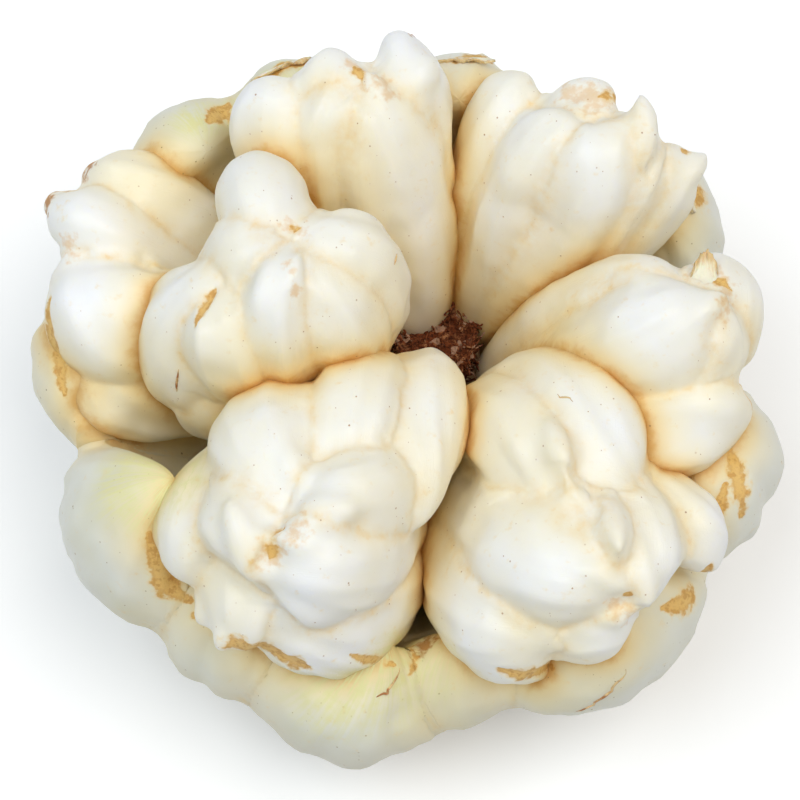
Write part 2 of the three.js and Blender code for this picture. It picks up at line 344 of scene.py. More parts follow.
# A scale's middle line runs from its root over its belly to its tip, in mm. dome and back are
# its thickness outside and inside, and wrap is how tightly it curves round. at is the belly's
# share of the length, and widest the share where it is widest. A low point or foot gives a
# blunt tip or base, nib draws the tip out, and swell is how deep its uneven growth goes.
plainScale = {
    "dome": 5,
    "back": 5,
    "wrap": 14,
    "point": 0.55,
    "foot": 0.4,
    "at": 0.5,
    "nib": 0,
    "swell": 1.0,
}
outerScale = {**plainScale, "dome": 7, "back": 6, "wrap": 36, "foot": 0.6}
scaleMesh = {"rings": 100, "sides": 60, "outerSides": 76, "widestPastBelly": 0.05, "seedStep": 3.7}


def lobe(root, belly, tip, width, **more):
    return {**plainScale, "root": root, "belly": belly, "tip": tip, "width": width, **more}


def bundle(heel, nose, *lobes):
    # a bulblet, with the axis that its scales lie round
    return {"heel": heel, "nose": nose, "scales": lobes}


bulblets = {
    "front_left": bundle(
        (-2, 0, 8),
        (-15, -29, 50),
        lobe((0, 3, 12), (3, -4, 41.5), (1.5, -24.5, 48.5), 14.5, dome=5.5, back=6, point=0.6),
        lobe((-3, 2, 12), (-4, -4.5, 45), (-8, -20.5, 52.5), 14, point=0.4),
        lobe((-5, 1, 12), (-16, -9.5, 47), (-12.5, -23, 53), 15.5, point=0.45),
        lobe((-1, -3, 14), (-2, -19, 48.5), (-12.5, -23.5, 53.5), 13, point=0.5),
        lobe((1, -6, 12), (-5, -27, 46.5), (-15.5, -28.5, 52), 17.5, dome=5.5, back=6, point=0.5),
        lobe((-6, -2, 12), (-18.5, -20, 48.5), (-16.5, -31, 51.5), 13,
             back=4, point=0.7, foot=0.6, at=0.6, nib=2),
        lobe((-8, 1, 10), (-24.5, -19, 42), (-24.5, -28, 42), 15, back=4, foot=0.5, at=0.58),
        lobe((-5, -2, 8), (-19.5, -28, 41), (-18.5, -34.5, 38.5), 17.5,
             dome=4.5, back=3, point=0.45, foot=0.6, at=0.66),
        lobe((0, -4, 8), (-6, -31, 32), (-15.5, -31.5, 45), 20, dome=5.5, back=6, foot=0.6),
    ),
    "crown": bundle(
        (-10, 10, 12),
        (-15, 7.5, 60),
        lobe((-12, 13, 14), (-17.5, 19.5, 50), (-15, 7.5, 57), 12, point=0.4, swell=0.4),
        lobe((-7, 10, 14), (-3.5, 8.5, 49), (-12.5, 9.5, 58), 14, back=6, point=0.6),
        lobe((-8, 7, 12), (-7, 1, 48), (-12.5, 8, 57.5), 13),
        lobe((-10, 6, 12), (-14.5, -0.5, 50.5), (-14, 8.5, 58), 9.5, point=0.65),
        lobe((-12, 7, 12), (-20.5, -1.5, 46.5), (-20.5, 4, 54), 12, point=0.6),
        lobe((-13, 7, 12), (-28, 1.5, 38.5), (-20, 7.5, 57), 16, point=0.65),
        lobe((-14, 10.5, 12), (-19.5, 8.5, 54.5), (-14.5, 9, 58), 13, dome=4.5, foot=0.6, at=0.7),
        lobe((-13, 5, 12), (-22.5, -1.5, 30), (-24.5, -1, 44), 11),
    ),
    "front_right": bundle(
        (8, 0, 8),
        (29, -29.5, 46),
        lobe((10, 2, 12), (19.5, -4, 42.5), (27.5, -20, 47.5), 18, dome=5.5, back=6, point=0.4),
        lobe((8, 1, 12), (13, -7, 41.5), (18.5, -21.5, 50.5), 14, point=0.5, nib=2),
        lobe((6, -4, 12), (13.5, -25, 44), (26.5, -31, 48), 18.5, dome=5.5, back=6, point=0.65),
        lobe((4.5, -2.5, 8), (9.5, -31, 34.5), (19, -34.5, 41), 21,
             back=4.5, point=0.5, foot=0.6, at=0.54),
        lobe((5, 1, 10.5), (19, -22, 46.5), (25.5, -29, 47), 14, back=4, foot=0.6, at=0.6),
        lobe((8, 3, 10.5), (27.5, -23, 47), (29.5, -32, 45.5), 13.5,
             point=0.75, foot=0.6, at=0.64, nib=1.5),
        lobe((11, 2.5, 8), (33.5, -20, 40.5), (37.5, -24.5, 37), 13, back=4, foot=0.6, at=0.68),
        lobe((14, -9, 26), (23.5, -21.5, 48.5), (25, -30, 52.5), 7,
             dome=3, back=3, point=0.8, at=0.6),
        lobe((5.5, -3, 7.5), (20.5, -33, 40.5), (27.5, -33, 43.5), 14, dome=4.5, foot=0.6, at=0.66),
    ),
    "right": bundle(
        (14, 7, 10),
        (38.5, 4, 49),
        lobe((12, 8, 12), (27, 0, 45), (38, 4.5, 50), 19, dome=6, point=0.5, widest=0.62),
        lobe((11, 11, 12), (25, 8.5, 41.5), (34, 5.5, 50), 12.5, point=0.6),
        lobe((13.5, 3, 10), (36.5, -1.5, 47), (39.5, 5.5, 48.5), 14.5, back=4, foot=0.6, at=0.7),
        lobe((14, 3, 10), (34.5, -9.5, 42), (42, -4, 39), 15, back=4, foot=0.6, at=0.7),
        lobe((17, 5, 8), (40, 4, 45.5), (38.5, 12.5, 45.5), 14, back=4, foot=0.6, at=0.68),
    ),
    "back_right": bundle(
        (10, 17, 12),
        (28, 28, 54),
        lobe((9, 15.5, 14), (16, 23, 45.5), (22, 27.5, 53.5), 14.5, point=0.7),
        lobe((12, 15, 12), (23.5, 19.5, 47), (26, 27, 54), 16, point=0.7),
        lobe((8, 19, 12), (11.5, 31, 38.5), (17.5, 36.5, 47), 14.5),
        lobe((7, 20, 12), (21.5, 30, 46.5), (27, 31, 52), 11.5, foot=0.6, at=0.6),
        lobe((11, 13, 12.5), (27, 23, 49.5), (29, 27.5, 53), 11,
             back=4, point=0.7, foot=0.6, at=0.58),
        lobe((12, 13.5, 12), (28, 21, 47.5), (29, 26, 51.5), 11,
             back=4, point=0.6, foot=0.6, at=0.58),
        lobe((13, 14.5, 11), (31, 21, 44.5), (33.5, 24.5, 48), 12,
             back=4, point=0.5, foot=0.6, at=0.58),
    ),
    "back": bundle(
        (2, 18, 12),
        (-4.5, 32, 57),
        lobe((4, 15, 14), (-1, 23.5, 45.5), (-5, 31.5, 56.5), 16.5, point=0.85, nib=1.5),
        lobe((-1.5, 15.5, 12.5), (-8, 26.5, 49.5), (-6.5, 31.5, 55.5), 11,
             back=4, point=0.6, foot=0.6, at=0.58),
        lobe((3, 20, 12), (1, 34.5, 48), (-0.5, 39, 51), 16.5, point=0.5, at=0.64),
        lobe((-3, 20, 12), (-16, 28, 46), (-14, 33, 53), 13, back=6, point=0.5, at=0.56),
        lobe((-2, 18, 12), (-8.5, 31, 51.5), (-6.5, 34.5, 54), 10, point=0.6, foot=0.6, at=0.6),
    ),
    "left": bundle(
        (-14, 16, 12),
        (-41.5, 18.5, 42),
        lobe((-13.5, 12, 12.5), (-34, 4.5, 38), (-39.5, 14, 42), 21, dome=6, foot=0.6),
        lobe((-14, 18, 14), (-30, 23.5, 38.5), (-40, 25.5, 39), 12, point=0.65),
        lobe((-14, 15, 13), (-35, 17, 41.5), (-43, 21.5, 40), 10.5, dome=4.5, point=0.6, foot=0.6),
        lobe((-15, 11, 11), (-35, -0.5, 31), (-39.5, 3, 36), 13,
             back=4, point=0.6, foot=0.6, at=0.62),
    ),
}
outerRing = {
    "middle": (2, 3),
    "rootReach": 13,
    "rootHeight": 4,
    "heel": (0, 0, 18),
    "nose": (0, 0, 22),
}


def outerLobe(angle, reach, height, tipReach, tipHeight, width, point, turn=0):
    # by the compass angle of its belly, counted from +X towards +Y in degrees. reach is how far
    # out the belly lies, and turn swings the tip round.
    way = math.radians(angle)
    tipWay = way + math.radians(turn)
    x, y = outerRing["middle"]
    rootReach = outerRing["rootReach"]
    return {
        **outerScale,
        "root": (x + rootReach * math.cos(way), y + rootReach * math.sin(way), outerRing["rootHeight"]),
        "belly": (reach * math.cos(way), reach * math.sin(way), height),
        "tip": (tipReach * math.cos(tipWay), tipReach * math.sin(tipWay), tipHeight),
        "width": width,
        "point": point,
    }


outerRing["scales"] = [
    outerLobe(36, 40.5, 26, 39, 42, 22, 0.5),
    outerLobe(78, 38.5, 28, 37, 44, 20, 0.5),
    outerLobe(109, 39, 28, 37.5, 45, 21, 0.6),
    outerLobe(131, 40, 28, 38, 44, 24, 0.6),
    outerLobe(172, 38, 24, 38, 40, 22, 0.6),
    outerLobe(208, 38.5, 24, 32.5, 46, 27, 0.65, 3),
    outerLobe(233, 35.5, 20, 34, 36, 20, 0.5),
    outerLobe(258, 38, 18, 33, 34, 27, 0.7, 8),
    outerLobe(283, 32.5, 18, 32, 30, 26, 0.5),
    outerLobe(313, 40, 22, 37, 40, 30, 0.6),
    outerLobe(347, 40.5, 24, 38, 40, 25, 0.5),
]


def growScale(name, entry, heel, nose, material, seed, sides):
    places = {"Heel": heel, "Nose": nose, **{key.title(): entry[key] for key in ("root", "belly", "tip")}}
    values = {
        **{label: inFrame(place) for label, place in places.items()},
        **inputs(entry, "Width", "Dome", "Back", "Wrap", "Nib", "Swell"),
        **inputs(entry, "Point", "Foot", unit=1),
        "Belly At": entry["at"],
        "Widest At": entry.get("widest", entry["at"] + scaleMesh["widestPastBelly"]),
        "Seed": float(seed),
        "Rings": scaleMesh["rings"],
        "Sides": sides,
        "Material": material,
    }
    return grow(name, scaleTree, values)


# --- finishes ---


def tint(red, green, blue):
    # a colour as it looks on a screen, 0 to 255
    parts = [c / 255 for c in (red, green, blue)]
    return tuple(c / 12.92 if c <= 0.04045 else ((c + 0.055) / 1.055) ** 2.4 for c in parts)


fleshLook = {
    "ivory": tint(249, 250, 251),
    "cream": tint(250, 244, 229),
    # painted warm shade in the valleys between scales, partly the flesh's own yellower tint there
    "hollowTintAndShade": tint(248, 229, 176),
    # amber painted shade along the lines where scales meet and deep in clefts, partly a real joint line; also
    # the real halo round wounds
    "seamTintAndShade": tint(240, 206, 132),
    # deep amber painted shade in the clefts between bulblets, partly amber deposit there
    "cleftTintAndShade": tint(216, 158, 66),
    # low is painted warm shade towards the bottom of the bulb, near the root
    "low": tint(247, 226, 178),
    "lowShadeBand": (38, 14),  # heights in mm between which the painted warm shade of low comes in, towards the bottom
    "brown": tint(182, 120, 50),
    "rosy": tint(228, 182, 112),
    "raw": tint(236, 190, 104),
    "scab": tint(184, 114, 42),
    "green": tint(230, 226, 166),
    "specks": tint(172, 124, 74),
    "speckScale": 1.25,
    "speckFrom": 0.5,
    "roughness": 0.38,
    "glow": 0.35,
}
greenedLook = {
    **fleshLook,
    "ivory": tint(234, 234, 224),
    "cream": tint(224, 221, 197),
    # painted shade towards the bottom, as in fleshLook
    "low": tint(196, 182, 140),
    "specks": tint(156, 130, 72),
    "speckScale": 1.1,
    "speckFrom": 0.2,
    "roughness": 0.44,
    "glow": 0.25,
}


def principled(name, look):
    material = bpy.data.materials.new(name)
    material.use_nodes = True
    shader = material.node_tree.nodes["Principled BSDF"]
    for label, value in look.items():
        shader.inputs[label].default_value = value
    return material, Sheet(material.node_tree), shader


def feed(sheet, shader, **wires):
    for label, wire in wires.items():
        sheet.tree.links.new(wire.socket, shader.inputs[label.replace("_", " ")])


def fleshMaterial(name, look):
    material, sheet, shader = principled(
        name,
        {
            "Subsurface Weight": look["glow"],
            "Subsurface Radius": (0.8, 0.75, 0.5),
            "Subsurface Scale": 3.0 * mm,
            "Specular IOR Level": 0.4,
            "Coat Roughness": 0.25,
        },
    )
    place = sheet.surfacePlace()
    height = sheet.split(place)[2]
    seamTintAndShade, hollowTintAndShade, cleftTintAndShade, along, across, greenAt, rosyAt, brownAt, rawAt = (
        sheet.attribute(label)
        for label in ("seamTintAndShade", "hollowTintAndShade", "cleftTintAndShade", "along", "across", "green", "rosy", "brown", "raw")
    )
    broad = sheet.noise(place, 0.06)
    mottle = sheet.noise(place, 0.45, 4.0, Roughness=0.6)
    grain = sheet.noise(place, 0.9, 2.5)
    fine = sheet.noise(place, 3.0, 3.0)

    # small brown specks, gathered in patches
    cells, pick = sheet.chips(place, look["speckScale"])
    size = sheet.ramp(pick[0], look["speckFrom"], 1, -0.04, 0.16) * sheet.ramp(mottle, 0.4, 0.62, 0.25, 1)
    dot = sheet.ramp(cells, size + 0.03, size)

    # greened, dried, reddened and torn places
    green = sheet.ramp(greenAt + (broad - 0.5) * 0.8, 0.1, 0.9)
    veins = sheet.noise(sheet.vector(across * 9, along * 1.5, broad * 3), 2.2)
    streaks = sheet.ramp(veins * 0.5 + mottle * 0.5, 0.4, 0.6, 0.25, 1)
    ragged = (mottle - 0.5) * 1.5 + (grain - 0.5) * 1.5 + (fine - 0.5) * 0.15
    rosy = sheet.ramp(rosyAt + ragged, 0.25, 1.05) * sheet.ramp(rosyAt, 0, 0.2)
    brown = sheet.ramp(brownAt + ragged, 0.35, 0.95) * sheet.ramp(brownAt, 0, 0.2)
    edge = rawAt + ragged * 0.45
    raw = sheet.ramp(edge, 0.38, 0.62)
    rim = sheet.ramp(edge, 0.75, 0.52) * 0.7
    scab = raw * (rim + sheet.ramp(grain + (fine - 0.5) * 0.4, 0.5, 0.64)).clamp()

    colour = sheet.coats(
        look,
        "ivory",
        ("cream", sheet.ramp(broad, 0.35, 0.7)),
        # painted warm shade lower down
        ("low", sheet.ramp(height + broad * 14, *look["lowShadeBand"]) * 0.7),
        # painted warm shade in the valleys between a bulblet's scales, partly the flesh's own tint
        ("hollowTintAndShade", hollowTintAndShade * (0.1 + broad * 0.55)),
        # painted shade with an amber joint line where two scales meet
        ("seamTintAndShade", seamTintAndShade * seamTintAndShade * (mottle * 1.6 - 0.5).clamp()),
        # painted warm shade in the clefts between bulblets, partly amber deposit
        ("hollowTintAndShade", cleftTintAndShade * 0.8),
        # painted golden shade deep in the clefts
        ("seamTintAndShade", sheet.ramp(cleftTintAndShade, 0.45, 1) * 0.55),
        # deepest painted shade in the clefts
        ("cleftTintAndShade", sheet.ramp(cleftTintAndShade + mottle * 0.4, 0.95, 1.3) * 0.8),
        ("specks", dot * (0.25 + pick[1] * 0.55)),
        ("green", green * streaks),
        ("rosy", rosy * 0.5),
        # the same amber as a real halo round wounds
        ("seamTintAndShade", sheet.ramp(edge, 0.1, 0.6) * 0.75),
        ("brown", brown * 0.85),
        ("raw", raw * (0.45 + mottle * 0.6).clamp()),
        ("scab", scab * 0.42),
    )
    roughness = look["roughness"] + (mottle - 0.5) * 0.16 + raw * 0.3 + brown * 0.2
    relief = mottle * 0.25 + veins * 0.35 + fine * 0.04 + raw * fine * 1.6
    bump = sheet.bump(relief, 0.35, 0.25)
    feed(sheet, shader, Base_Color=colour, Roughness=roughness.clamp(), Normal=bump)
    return material


flesh = fleshMaterial("bulbFlesh", fleshLook)
greenedFlesh = fleshMaterial("greenedFlesh", greenedLook)
scaleTree = fleshyScaleTree()

# --- grow every scale ---

scales, families = {}, {}
for family, group in {**bulblets, "outer": outerRing}.items():
    kind, material, sides = "form", flesh, scaleMesh["sides"]
    if group is outerRing:
        kind, material, sides = "skin", greenedFlesh, scaleMesh["outerSides"]
    for number, entry in enumerate(group["scales"], 1):
        name = f"{family}_scale_{number}"
        seed = len(scales) * scaleMesh["seedStep"]
        scales[name] = growScale(
            f"{name}_{kind}", entry, group["heel"], group["nose"], material, seed, sides
        )
        families[name] = family
print("scales grown:", len(scales))

# --- where scales meet ---

meeting = {
    "voxel": 0.42,  # grain of a bulblet's skin in mm
    "valley": 1.8,  # radius of its valleys in mm
    "crownValley": 2.4,
    "outerValley": 3.0,
    "relax": 4,  # smoothing steps
    "crease": 0.22,  # depth and width of the fine creases in mm
    "creaseWidth": 0.6,
    "overlap": 0.34,  # how far a scale's edge stands over the next one in mm
    "overlapEdge": 0.4,  # how soft that step is, and how soon it fades away, in mm
    "overlapFade": 1.5,
    "seamReach": 2.2,  # how far the painted shade and tint spread from where two scales meet, in mm
    "reach": 7.0,  # how far hollows and clefts, with their painted shade, spread in mm
    "search": 12,  # how far a skin looks for its scales in mm
    "dive": (-2.5, -1.0),  # depths in mm over which an outer scale dives under its neighbour
    "settle": (0.05, 0.35),  # gaps in mm over which it rises to the shared surface
    "settleReach": 6,
}


def columnsOf(collection, label, width=1):
    flat = np.empty(len(collection) * width, np.float32)
    collection.foreach_get(label, flat)
    return flat.reshape(-1, width)


def pointsOf(mesh):
    return columnsOf(mesh.vertices, "co", 3).astype(float) / mm


def normalsOf(mesh):
    return columnsOf(mesh.vertices, "normal", 3).astype(float)


def sharesOf(mesh, *labels):
    return np.array([columnsOf(mesh.attributes[label].data, "value")[:, 0] for label in labels])


def movePoints(obj, points):
    obj.data.vertices.foreach_set("co", (points * mm).astype(np.float32).ravel())
    obj.data.update()


def storeShare(obj, label, values):
    layer = obj.data.attributes.get(label) or obj.data.attributes.new(label, "FLOAT", "POINT")
    layer.data.foreach_set("value", np.clip(values, -1, 1).astype(np.float32))


def storeMeeting(obj, between, away):
    # how near the next scale of the same kin is, and how near another bulblet is, as masks for the painted
    # shade and tint of seams, hollows and clefts
    storeShare(obj, "seamTintAndShade", np.clip(1 - between / meeting["seamReach"], 0, 1))
    storeShare(obj, "hollowTintAndShade", np.clip(1 - between / reach, 0, 1))
    storeShare(obj, "cleftTintAndShade", np.clip(1 - away / reach, 0, 1))


def treeOf(mesh):
    # for look-ups in mm
    faces = [tuple(face.vertices) for face in mesh.polygons]
    return BVHTree.FromPolygons([Vector(p) for p in pointsOf(mesh)], faces)


def boxOf(points):
    return points.min(axis=0), points.max(axis=0)


def signedDistances(points, tree, box, reach):
    # distance to a neighbour's surface in mm, below 0 inside it, and reach where it is far
    low, high = box
    result = np.full(len(points), float(reach))
    close = np.all((points > low - reach) & (points < high + reach), axis=1)
    for i in np.nonzero(close)[0]:
        point = Vector(points[i])
        hit, normal, _, distance = tree.find_nearest(point, reach)
        if hit is not None:
            result[i] = distance if (point - hit).dot(normal) > 0 else -distance
    return result


def ease(values, low, high):
    share = np.clip((values - low) / (high - low), 0, 1)
    return share * share * (3 - 2 * share)


def modified(mesh, kind, **settings):
    # the mesh as one modifier leaves it
    holder = bpy.data.objects.new("helper", mesh)
    bpy.context.scene.collection.objects.link(holder)
    modifier = holder.modifiers.new("helper", kind)
    for key, value in settings.items():
        setattr(modifier, key, value)
    result = bpy.data.meshes.new_from_object(holder.evaluated_get(bpy.context.evaluated_depsgraph_get()))
    bpy.data.objects.remove(holder)
    return result


def remeshed(mesh):
    return modified(mesh, "REMESH", mode="VOXEL", voxel_size=meeting["voxel"] * mm)


def largestShell(mesh):
    # drops closed pockets inside the surface
    work = bmesh.new()
    work.from_mesh(mesh)
    left, best = set(work.verts), []
    while left:
        shell, edge = [], [left.pop()]
        while edge:
            vertex = edge.pop()
            shell.append(vertex)
            for link in vertex.link_edges:
                other = link.other_vert(vertex)
                if other in left:
                    left.discard(other)
                    edge.append(other)
        if len(shell) > len(best):
            best = shell
    kept = set(best)
    bmesh.ops.delete(work, geom=[v for v in work.verts if v not in kept], context="VERTS")
    work.to_mesh(mesh)
    work.free()


def jointSurface(members, radius):
    # one surface over all the members, with a ball of this radius rolled into their valleys
    points, faces = [], []
    for obj in members:
        start = len(points)
        points += [v.co.copy() for v in obj.data.vertices]
        faces += [tuple(i + start for i in face.vertices) for face in obj.data.polygons]
    mesh = bpy.data.meshes.new("whole")
    mesh.from_pydata(points, [], faces)
    for swell in (radius, -radius):
        mesh = modified(remeshed(mesh), "DISPLACE", strength=swell * mm, mid_level=0)
    mesh = remeshed(mesh)
    largestShell(mesh)
    return modified(mesh, "SMOOTH", factor=0.5, iterations=meeting["relax"])


reach = meeting["reach"]
places = {name: pointsOf(obj.data) for name, obj in scales.items()}
shares = {name: sharesOf(obj.data, "along", "across", "outward") for name, obj in scales.items()}
trees = {name: treeOf(obj.data) for name, obj in scales.items()}
boxes = {name: boxOf(points) for name, points in places.items()}


def spotOn(name, along, across):
    # the vertex of a scale at a share of its length (0 root, 1 tip) and of its width (-1 to 1),
    # where length counts more than width and the inner side is left out
    here = shares[name]
    gap = (here[0] - along) ** 2 * 9 + (here[1] - across) ** 2 + np.where(here[2] >= -0.05, 0, 9)
    return int(np.argmin(gap))


def tipOf(name):
    return Vector(places[name][int(np.argmax(shares[name][0]))])


# Small buds on the scales: the spot on a scale, length, width and thickness in mm, lean off
# the scale in degrees and pointedness. behind and ahead are how much of the length lies on
# each side of the spot.
budForm = {"behind": 0.5, "ahead": 0.6, "bulge": 0.4, "foot": 0.6, "swell": 0.2, "axis": 5}
budMesh = {"sides": 32, "seed": 300}
budList = [
    (("front_right_scale_5", 0.7, -0.41), 2.4, 2.6, 1.5, 55, 0.6),
    (("front_right_scale_2", 0.86, -0.67), 7.5, 3.6, 2.2, 14, 1.2),
    (("front_right_scale_8", 0.8, -0.2), 11.0, 3.8, 1.8, 4, 1.2),
    (("front_right_scale_3", 0.9, -0.3), 8.0, 3.4, 1.4, 6, 1.2),
    (("front_right_scale_6", 0.86, 0.4), 9.0, 3.4, 1.4, 8, 1.2),
    (("front_right_scale_9", 0.88, -0.8), 6.0, 3.4, 1.2, 4, 1.1),
    (("front_left_scale_6", 0.88, -0.3), 10.0, 4.6, 1.9, 5, 1.2),
    (("front_left_scale_4", 0.86, -0.55), 8.0, 5.5, 2.4, 4, 1.0),
    (("front_left_scale_5", 0.85, 0.4), 6.0, 3.4, 1.5, 8, 1.0),
    (("front_left_scale_3", 0.9, -0.2), 7.0, 4.0, 1.5, 4, 1.1),
    (("front_left_scale_8", 0.81, 0.1), 4.4, 2.6, 1.4, 16, 0.7),
    (("front_left_scale_8", 0.9, -0.5), 4.0, 2.6, 1.4, 16, 0.7),
    (("crown_scale_3", 0.84, -0.5), 7.0, 2.2, 1.1, 4, 1.0),
    (("crown_scale_4", 0.82, 0.5), 6.0, 2.4, 1.1, 4, 1.0),
    (("back_scale_3", 0.8, -0.9), 5.5, 4.6, 1.4, 6, 1.0),
    (("back_scale_1", 0.92, 0.7), 6.0, 3.4, 1.5, 12, 1.2),
    (("back_right_scale_5", 0.86, -0.2), 7.0, 3.4, 1.2, 22, 1.2),
    (("back_right_scale_7", 0.88, -0.4), 5.5, 3.2, 1.2, 20, 1.1),
    (("right_scale_1", 0.92, 0.1), 6.0, 3.6, 1.4, 12, 1.2),
    (("left_scale_2", 0.96, 0.0), 5.0, 4.4, 1.8, 5, 0.7),
    (("left_scale_3", 0.96, 0.0), 5.0, 4.0, 1.8, 5, 0.7),
]
kin = [*bulblets, "outer"]
buds = {family: [] for family in kin}
for number, (spot, length, width, dome, leanDegrees, point) in enumerate(budList):
    name = spot[0]
    start = spotOn(*spot)
    place = Vector(places[name][start])
    normal = scales[name].data.vertices[start].normal.copy()
    forward = tipOf(name) - place
    forward = (forward - normal * forward.dot(normal)).normalized()
    lean = math.radians(leanDegrees)
    way = forward * math.cos(lean) + normal * math.sin(lean)
    over = normal * math.cos(lean) - forward * math.sin(lean)
    root = place - way * length * budForm["behind"] - normal
    tip = place + way * length * budForm["ahead"]
    belly = (root + tip) / 2 + over * budForm["bulge"]
    entry = lobe(
        *(spot - bulbCentre for spot in (root, belly, tip)),
        width,
        dome=dome,
        back=dome,
        point=point,
        foot=budForm["foot"],
        swell=budForm["swell"],
    )
    heel, nose = root - over * budForm["axis"] - bulbCentre, tip - over * budForm["axis"] - bulbCentre
    seed = budMesh["seed"] + number
    bud = growScale(f"bud_{number}", entry, heel, nose, flesh, seed, budMesh["sides"])
    buds[families[name]].append(bud)
outlines, outlineTrees, outlineBoxes = {}, {}, {}
for family in kin:
    members = [obj for name, obj in scales.items() if families[name] == family]
    mesh = jointSurface(members + buds[family], meeting.get(family + "Valley", meeting["valley"]))
    outlines[family], outlineTrees[family], outlineBoxes[family] = mesh, treeOf(mesh), boxOf(pointsOf(mesh))
    for bud in buds[family]:
        bpy.data.objects.remove(bud)
print("outlines smoothed:", {family: len(mesh.polygons) for family, mesh in outlines.items()})

surfaces = {}
for family in bulblets:
    # a bulblet's scales have grown together, so one skin covers them
    mesh = outlines[family]
    points, out = pointsOf(mesh), normalsOf(mesh)
    members = [name for name in scales if families[name] == family]
    gaps = [np.abs(signedDistances(points, trees[name], boxes[name], meeting["search"])) for name in members]
    order = np.argsort(gaps, axis=0)
    ranked = np.take_along_axis(np.array(gaps), order, axis=0)
    between = ranked[1] - ranked[0]
    away = np.full(len(points), reach)
    for other, tree in outlineTrees.items():
        if other != family:
            away = np.minimum(away, np.abs(signedDistances(points, tree, outlineBoxes[other], reach)))
    own = np.zeros((3, len(points)))
    for number, name in enumerate(members):
        for i in np.nonzero(order[0] == number)[0]:
            hit, _, face, _ = trees[name].find_nearest(Vector(points[i]))
            corners = scales[name].data.polygons[face].vertices
            own[:, i] = shares[name][:, corners[0]]
    x, y, z = points.T
    patchy = 0.5 + 0.5 * np.sin(x * 0.41 + z * 0.2) * np.sin(y * 0.37 + 0.8 + z * 0.1)
    crease = meeting["crease"] * patchy * np.exp(-((between / meeting["creaseWidth"]) ** 2))
    # of two scales the later one lies over the earlier one
    side = np.where(order[0] > order[1], 1, -1) * np.tanh(between / meeting["overlapEdge"])
    side = side * np.exp(-between / meeting["overlapFade"])
    crease = crease - meeting["overlap"] * (1 - patchy * 0.7) * side
    skin = bpy.data.objects.new(family + "_bulblet_skin", mesh)
    mesh.name = skin.name
    bpy.context.scene.collection.objects.link(skin)
    movePoints(skin, points - out * crease[:, None])
    for label, values in zip(("along", "across", "outward"), own):
        storeShare(skin, label, values)
    storeMeeting(skin, between, away)
    mesh.materials.clear()
    mesh.materials.append(flesh)
    mesh.polygons.foreach_set("use_smooth", np.ones(len(mesh.polygons), bool))
    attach(skin, "root")
    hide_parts(*members)
    for name in members:
        surfaces[name] = skin
print("bulblet skins made:", len(bulblets))

for name in [name for name in scales if families[name] == "outer"]:
    obj, points = scales[name], places[name]
    low, high = boxes[name]
    near = {True: np.full(len(points), reach), False: np.full(len(points), reach)}
    depth = np.full(len(points), reach)
    for other in scales:
        otherLow, otherHigh = boxes[other]
        apart = np.any(otherLow - reach > high) or np.any(otherHigh + reach < low)
        if other == name or apart:
            continue
        distance = signedDistances(points, trees[other], boxes[other], reach)
        akin = families[other] == "outer"
        near[akin] = np.minimum(near[akin], np.abs(distance))
        if akin:
            depth = np.minimum(depth, distance)
    moved = points.copy()
    for i in np.nonzero(depth > meeting["dive"][0])[0]:
        point = Vector(points[i])
        hit, out, _, gap = outlineTrees["outer"].find_nearest(point, meeting["settleReach"])
        if hit is not None and (hit - point).dot(out) > 0:
            moved[i] += np.array(hit - point) * ease(gap, *meeting["settle"])
    # what lies inside a neighbour dives under the shared surface
    movePoints(obj, points + (moved - points) * ease(depth, *meeting["dive"])[:, None])
    storeMeeting(obj, near[True], near[False])
    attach(obj, "root")
    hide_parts(name)
    surfaces[name] = obj
print("outer scales settled")

# --- places on a scale ---

surfaceTrees = {obj.name: treeOf(obj.data) for obj in surfaces.values()}


def spotFrame(spot):
    # place in mm, outward normal and the way to the tip, at a spot on a scale
    name = spot[0]
    start = Vector(places[name][spotOn(*spot)])
    place, normal, _, _ = surfaceTrees[surfaces[name].name].find_nearest(start)
    forward = tipOf(name) - place
    forward -= normal * forward.dot(normal)
    return place, normal, forward.normalized()


def spotPlace(*spot):
    return np.array(spotFrame(spot)[0])


# --- wounds, stains and dried places ---

